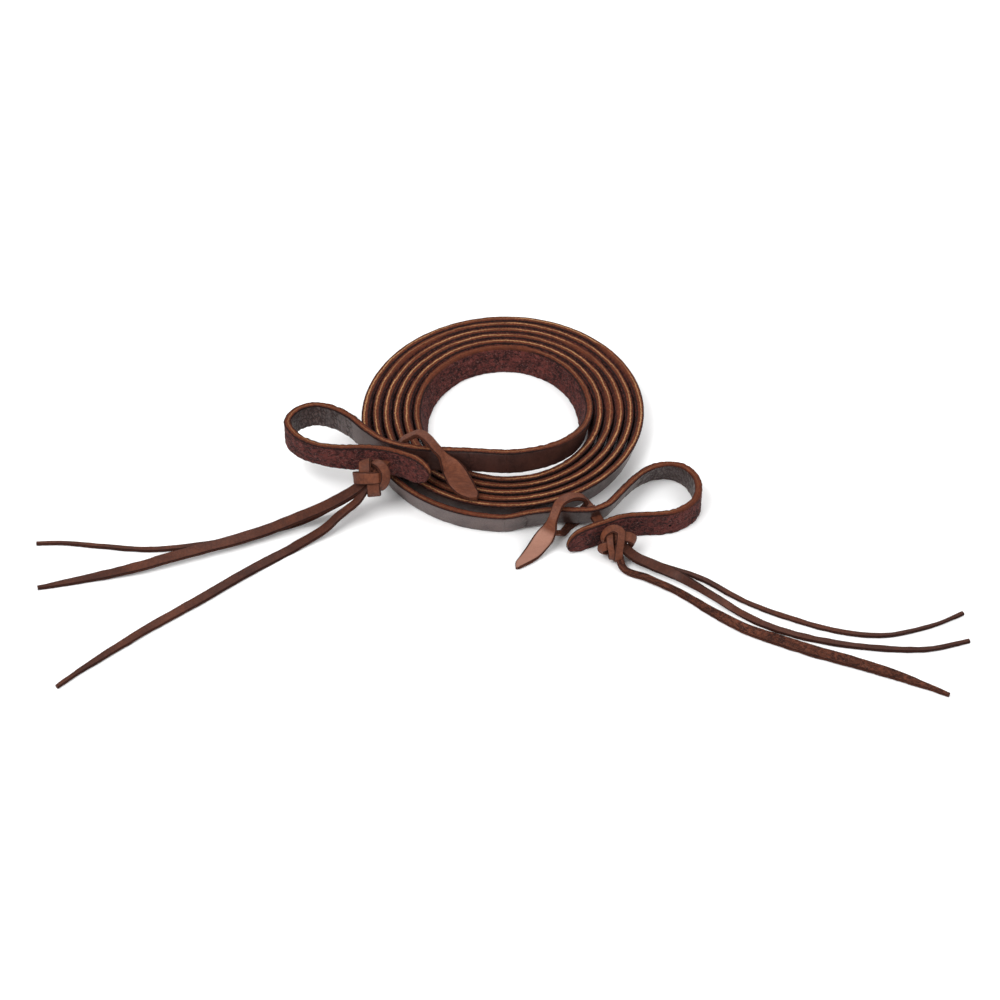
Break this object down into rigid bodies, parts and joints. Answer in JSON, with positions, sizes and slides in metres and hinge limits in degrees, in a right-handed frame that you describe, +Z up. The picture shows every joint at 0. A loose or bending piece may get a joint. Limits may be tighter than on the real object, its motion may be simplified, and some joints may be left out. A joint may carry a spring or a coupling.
{
  "type": "leather roping reins",
  "caption": "Leather roping reins: one long strap wound on edge into a flat coil, its ends folded into tied bit loops with knotted thong tails.",
  "frame": {"origin": "middle of the footprint of the reins on the surface that they lie on", "axes": "+X along the reins from the left tails to the right tails, +Y away from the bit ends and over the coil, +Z up"},
  "size_m": [0.4116, 0.2304, 0.0325],
  "materials": {
    "strap_leather": "semi-gloss dark brown grain side, rough red-brown flesh side, burnished edges",
    "thong_leather": "matt mid-brown"
  },
  "bodies": {
    "rein_coil": {"rein_strap": "strap_leather"},
    "right_bit_end": {"right_bit_loop": "strap_leather", "right_tie_thong": "thong_leather", "right_button_knot": "thong_leather"},
    "right_tab": {"right_tie_tab": "thong_leather"},
    "right_upper_tail_body": {"right_upper_tail": "thong_leather"},
    "right_middle_tail_body": {"right_middle_tail": "thong_leather"},
    "right_lower_tail_body": {"right_lower_tail": "thong_leather"},
    "left_bit_end": {"left_bit_loop": "strap_leather", "left_tie_thong": "thong_leather", "left_button_knot": "thong_leather"},
    "left_tab": {"left_tie_tab": "thong_leather"},
    "left_upper_tail_body": {"left_upper_tail": "thong_leather"},
    "left_middle_tail_body": {"left_middle_tail": "thong_leather"},
    "left_lower_tail_body": {"left_lower_tail": "thong_leather"}
  },
  "joints": [
    {"name": "right_bit_swing", "type": "hinge", "parent": "rein_coil", "child": "right_bit_end", "pos_m": [0.00445, -0.02176, 0.0061], "axis": [0, 0, 1], "range_deg": [-25, 0]},
    {"name": "left_bit_swing", "type": "hinge", "parent": "rein_coil", "child": "left_bit_end", "pos_m": [0.00495, 0.00658, 0.01886], "axis": [0, 0, 1], "range_deg": [0, 20]},
    {"name": "right_tab_lift", "type": "hinge", "parent": "right_bit_end", "child": "right_tab", "pos_m": [0.02455, -0.02576, 0.01051], "axis": [-1, 0, 0], "range_deg": [0, 40]},
    {"name": "left_tab_lift", "type": "hinge", "parent": "left_bit_end", "child": "left_tab", "pos_m": [-0.02188, 0.00197, 0.02463], "axis": [-1, 0, 0], "range_deg": [0, 40]},
    {"name": "right_upper_tail_bend", "type": "hinge", "parent": "right_bit_end", "child": "right_upper_tail_body", "pos_m": [0.06206, -0.03476, 0.00205], "axis": [0, 0, 1], "range_deg": [0, 15]},
    {"name": "right_middle_tail_bend", "type": "hinge", "parent": "right_bit_end", "child": "right_middle_tail_body", "pos_m": [0.06215, -0.03799, 0.00614], "axis": [-0.4679, -0.8838, 0], "range_deg": [0, 45]},
    {"name": "right_lower_tail_bend", "type": "hinge", "parent": "right_bit_end", "child": "right_lower_tail_body", "pos_m": [0.05662, -0.04117, 0.00306], "axis": [-0.491, -0.8712, 0], "range_deg": [0, 45]},
    {"name": "left_upper_tail_bend", "type": "hinge", "parent": "left_bit_end", "child": "left_upper_tail_body", "pos_m": [-0.06343, -0.00331, 0.01064], "axis": [0, 0, 1], "range_deg": [-15, 0]},
    {"name": "left_middle_tail_bend", "type": "hinge", "parent": "left_bit_end", "child": "left_middle_tail_body", "pos_m": [-0.06387, -0.00619, 0.01556], "axis": [-0.4086, 0.9127, 0], "range_deg": [0, 45]},
    {"name": "left_lower_tail_bend", "type": "hinge", "parent": "left_bit_end", "child": "left_lower_tail_body", "pos_m": [-0.06107, -0.01296, 0.01347], "axis": [-0.3714, 0.9285, 0], "range_deg": [0, 45]}
  ]
}
